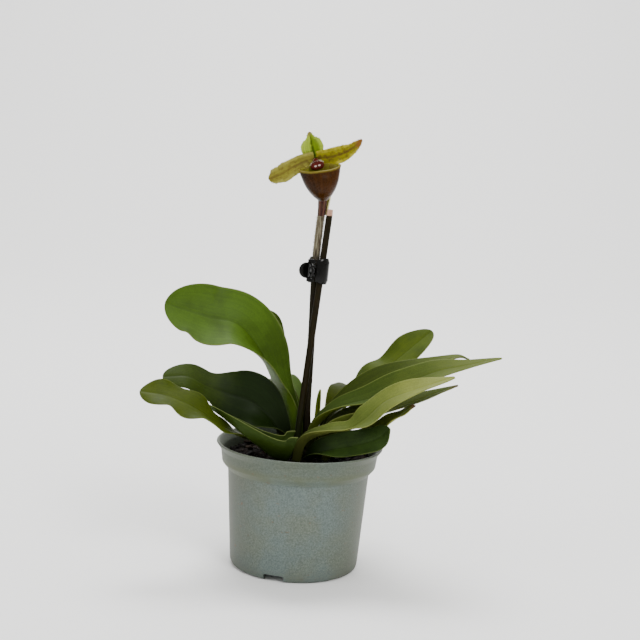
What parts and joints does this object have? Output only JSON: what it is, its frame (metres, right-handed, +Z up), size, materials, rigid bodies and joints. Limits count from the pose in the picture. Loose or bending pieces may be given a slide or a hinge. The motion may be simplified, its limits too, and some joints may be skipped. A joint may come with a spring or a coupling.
{
  "type": "paphiopedilum orchid",
  "caption": "Potted slipper orchid in flower: strap leaves, a staked stem held by a claw clip, and one flower with a pouch, in a round nursery pot.",
  "frame": {"origin": "centre of the pot's base, on the surface that the pot stands on", "axes": "+Z up, +X to the right and +Y to the back as the flower faces the viewer"},
  "size_m": [0.1872, 0.1125, 0.2332],
  "materials": {
    "pot_plastic": "grey-green moulded plastic, finely mottled, satin",
    "bark_mix": "dark brown bark and peat mix, rough and damp",
    "growth_stem": "pale green stem tissue",
    "leaf": "leathery green leaf, satin, with a thin paler edge",
    "leaf_dark": "leathery dark green leaf, satin",
    "leaf_olive": "leathery olive green leaf, paler underneath, satin",
    "leaf_new": "young yellow-green leaf",
    "stake": "dark green dyed split cane with a pale cut tip",
    "stem_skin": "dark purple-brown stem with short pale hairs",
    "bract": "yellow-green papery bract",
    "petal": "olive yellow-green petal with a brown midline",
    "sepal": "bright green sepal with a dark midline",
    "pouch": "glossy dark brown pouch, yellow-green inside",
    "column": "maroon shield with two white spots",
    "clip_plastic": "glossy black plastic",
    "steel": "bright steel"
  },
  "bodies": {
    "root": {"pot": "pot_plastic", "soil": "bark_mix", "growth_stem_flowering": "growth_stem", "growth_stem_front": "growth_stem", "growth_stem_back": "growth_stem", "leaf_left_large": "leaf", "leaf_left_upright": "leaf_olive", "leaf_left_back": "leaf", "leaf_left_dark": "leaf_dark", "leaf_left_edgeways": "leaf_olive", "leaf_left_low": "leaf", "leaf_right_far": "leaf", "leaf_right_hooked": "leaf_dark", "leaf_right_long": "leaf_olive", "leaf_right_pale": "leaf_olive", "leaf_right_under": "leaf_olive", "leaf_right_curled": "leaf_olive", "leaf_right_rim": "leaf_dark", "leaf_back_short": "leaf_dark", "leaf_new_shoot": "leaf_new", "stake": "stake", "flower_stem": "stem_skin", "ovary": "stem_skin", "bract": "bract", "petal_right": "petal", "petal_left": "petal", "dorsal_sepal": "sepal", "synsepal": "sepal", "pouch": "pouch", "column": "column", "clip_fixed_half": "clip_plastic", "clip_pin": "steel", "clip_spring": "steel"},
    "clip_jaw": {"clip_moving_half": "clip_plastic"}
  },
  "joints": [
    {"name": "clip_hinge", "type": "hinge", "parent": "root", "child": "clip_jaw", "pos_m": [0.00146, -0.00299, 0.16103], "axis": [-0.0449, -0.02, -0.9988], "range_deg": [0, 35], "stiffness_Nm_per_rad": 0.01, "springref_deg": -28.65}
  ]
}
